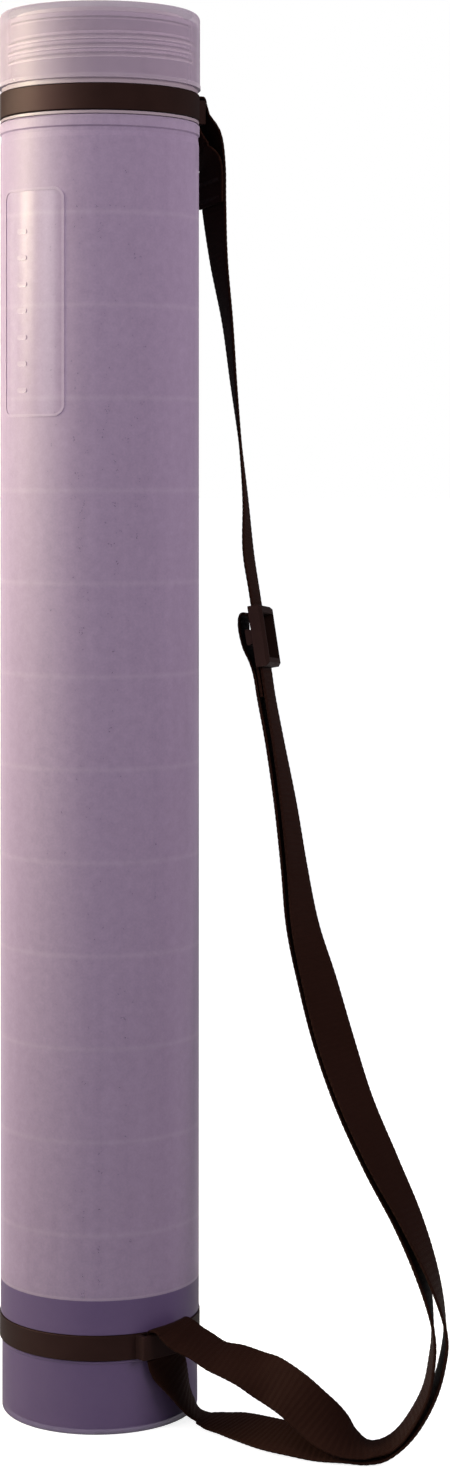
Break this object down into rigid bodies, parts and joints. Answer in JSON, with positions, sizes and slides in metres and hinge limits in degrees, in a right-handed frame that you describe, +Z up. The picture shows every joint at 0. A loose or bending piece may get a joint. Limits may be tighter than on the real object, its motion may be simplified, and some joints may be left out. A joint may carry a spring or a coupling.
{
  "type": "telescoping portfolio tube",
  "caption": "Free-standing telescoping portfolio tube with a ridged inner tube, screw lid and an adjustable webbing shoulder strap on two swivel rings.",
  "frame": {"origin": "centre of the base's underside, on the tube's axis", "axes": "+Z up along the tube's axis, -Y the front that shows the label frame at its left, +X the side the strap hangs on"},
  "size_m": [0.1941, 0.1278, 0.617],
  "materials": {
    "tube_plastic": "frosted translucent polypropylene, satin",
    "lid_plastic": "frosted translucent polypropylene, satin",
    "seal_foam": "closed-cell foam gasket",
    "ring_plastic": "black-brown moulded plastic, satin",
    "webbing": "woven polypropylene webbing",
    "thread": "polyester thread"
  },
  "bodies": {
    "outer_tube": {"outer_tube": "tube_plastic"},
    "lower_ring": {"lower_ring": "ring_plastic", "strap_outer_strand": "webbing", "strap_bottom_loop": "webbing", "strap_inner_strand": "webbing"},
    "upper_ring": {"upper_ring": "ring_plastic", "strap_top_loop": "webbing", "strap_single_run": "webbing", "top_stitching": "thread"},
    "adjuster": {"adjuster": "ring_plastic", "strap_end_loop": "webbing", "end_stitching": "thread"},
    "inner_tube": {"inner_tube": "tube_plastic"},
    "lid_seal": {"lid_seal": "seal_foam"},
    "lid": {"lid": "lid_plastic"}
  },
  "joints": [
    {"name": "strap_swivel", "type": "hinge", "parent": "outer_tube", "child": "lower_ring", "pos_m": [0, 0, 0], "axis": [0, 0, 1], "continuous": true},
    {"name": "tube_extend", "type": "slide", "parent": "lower_ring", "child": "upper_ring", "axis": [0, 0, 1], "range_m": [0, 0.4]},
    {"name": "tube_twist", "type": "hinge", "parent": "upper_ring", "child": "inner_tube", "pos_m": [0, 0, 0], "axis": [0, 0, 1], "continuous": true},
    {"name": "lid_rise", "type": "slide", "parent": "inner_tube", "child": "lid_seal", "axis": [0, 0, 1], "range_m": [0, 0.0361]},
    {"name": "lid_turn", "type": "hinge", "parent": "lid_seal", "child": "lid", "pos_m": [0, 0, 0], "axis": [0, 0, 1], "range_deg": [0, 3240]},
    {"name": "adjuster_slide", "type": "slide", "parent": "lower_ring", "child": "adjuster", "axis": [-0.1472, 0.1227, 0.9815], "range_m": [0, 0.02]}
  ],
  "couplings": [
    {"joint": "lid_rise", "follows": "lid_turn", "m_per_rad": 0.00063662}
  ]
}
